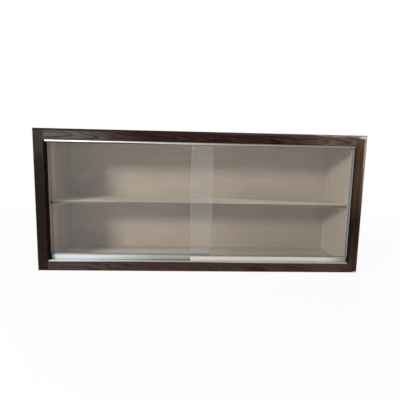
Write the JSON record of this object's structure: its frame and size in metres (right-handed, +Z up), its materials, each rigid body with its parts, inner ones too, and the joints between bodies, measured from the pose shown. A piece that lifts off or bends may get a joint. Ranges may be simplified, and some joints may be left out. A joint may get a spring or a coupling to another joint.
{
  "type": "wall display cabinet",
  "caption": "Shallow wall display cabinet with a square dark wood frame, one inner shelf, and a pair of glass doors that roll past each other in aluminium tracks.",
  "frame": {"origin": "middle of the base, halfway between front and back", "axes": "+X right seen from the front, +Y to the back, +Z up; the front faces -Y"},
  "size_m": [1.22, 0.305, 0.526],
  "materials": {
    "frame_wood": "dark brown stained solid wood, worn along its outer edges",
    "case_plywood": "plywood, dark stained outside and pale inside",
    "back_plywood": "thin pale plywood",
    "shelf_plywood": "pale plywood with a straight front edge",
    "rail_softwood": "planed softwood",
    "dowel_beech": "plain beech",
    "fastener_steel": "bright steel",
    "track_aluminium": "mill finish extrusion",
    "shoe_aluminium": "satin anodised extrusion",
    "gasket_vinyl": "soft grey vinyl",
    "bumper_rubber": "black rubber",
    "roller_steel": "zinc plated",
    "wheel_nylon": "natural nylon",
    "door_glass": "clear float glass with ground edges"
  },
  "bodies": {
    "cabinet": {"top_rail": "frame_wood", "bottom_rail": "frame_wood", "left_stile": "frame_wood", "right_stile": "frame_wood", "left_side": "case_plywood", "right_side": "case_plywood", "top_panel": "case_plywood", "bottom_panel": "case_plywood", "back_panel": "back_plywood", "hanging_rail": "rail_softwood", "lower_back_rail": "rail_softwood", "shelf": "shelf_plywood", "left_shelf_cleat": "rail_softwood", "right_shelf_cleat": "rail_softwood", "rear_shelf_cleat": "rail_softwood", "frame_dowels": "dowel_beech", "cleat_screws": "fastener_steel", "back_nails": "fastener_steel", "rail_nails": "fastener_steel", "upper_track": "track_aluminium", "lower_track": "track_aluminium", "upper_track_screws": "fastener_steel", "lower_track_screws": "fastener_steel"},
    "left_door": {"left_door_glass": "door_glass", "left_door_shoe": "shoe_aluminium", "left_door_gasket": "gasket_vinyl", "left_door_bumper": "bumper_rubber", "left_door_outer_roller_frame": "roller_steel", "left_door_outer_axle": "roller_steel", "left_door_inner_roller_frame": "roller_steel", "left_door_inner_axle": "roller_steel"},
    "right_door": {"right_door_glass": "door_glass", "right_door_shoe": "shoe_aluminium", "right_door_gasket": "gasket_vinyl", "right_door_bumper": "bumper_rubber", "right_door_outer_roller_frame": "roller_steel", "right_door_outer_axle": "roller_steel", "right_door_inner_roller_frame": "roller_steel", "right_door_inner_axle": "roller_steel"},
    "left_door_outer_wheel": {"left_door_outer_wheel": "wheel_nylon"},
    "left_door_inner_wheel": {"left_door_inner_wheel": "wheel_nylon"},
    "right_door_outer_wheel": {"right_door_outer_wheel": "wheel_nylon"},
    "right_door_inner_wheel": {"right_door_inner_wheel": "wheel_nylon"}
  },
  "joints": [
    {"name": "left_door_slide", "type": "slide", "parent": "cabinet", "child": "left_door", "axis": [1, 0, 0], "range_m": [0, 0.53]},
    {"name": "right_door_slide", "type": "slide", "parent": "cabinet", "child": "right_door", "axis": [-1, 0, 0], "range_m": [0, 0.53]},
    {"name": "left_door_outer_wheel_roll", "type": "hinge", "parent": "left_door", "child": "left_door_outer_wheel", "pos_m": [-0.5061, -0.1236, 0.0436], "axis": [0, 1, 0], "range_deg": [0, 8100]},
    {"name": "left_door_inner_wheel_roll", "type": "hinge", "parent": "left_door", "child": "left_door_inner_wheel", "pos_m": [-0.02, -0.1236, 0.0436], "axis": [0, 1, 0], "range_deg": [0, 8100]},
    {"name": "right_door_outer_wheel_roll", "type": "hinge", "parent": "right_door", "child": "right_door_outer_wheel", "pos_m": [0.5061, -0.1394, 0.0436], "axis": [0, -1, 0], "range_deg": [0, 8100]},
    {"name": "right_door_inner_wheel_roll", "type": "hinge", "parent": "right_door", "child": "right_door_inner_wheel", "pos_m": [0.02, -0.1394, 0.0436], "axis": [0, -1, 0], "range_deg": [0, 8100]}
  ],
  "couplings": [
    {"joint": "left_door_outer_wheel_roll", "follows": "left_door_slide", "rad_per_m": 266.67},
    {"joint": "left_door_inner_wheel_roll", "follows": "left_door_slide", "rad_per_m": 266.67},
    {"joint": "right_door_outer_wheel_roll", "follows": "right_door_slide", "rad_per_m": 266.67},
    {"joint": "right_door_inner_wheel_roll", "follows": "right_door_slide", "rad_per_m": 266.67}
  ]
}
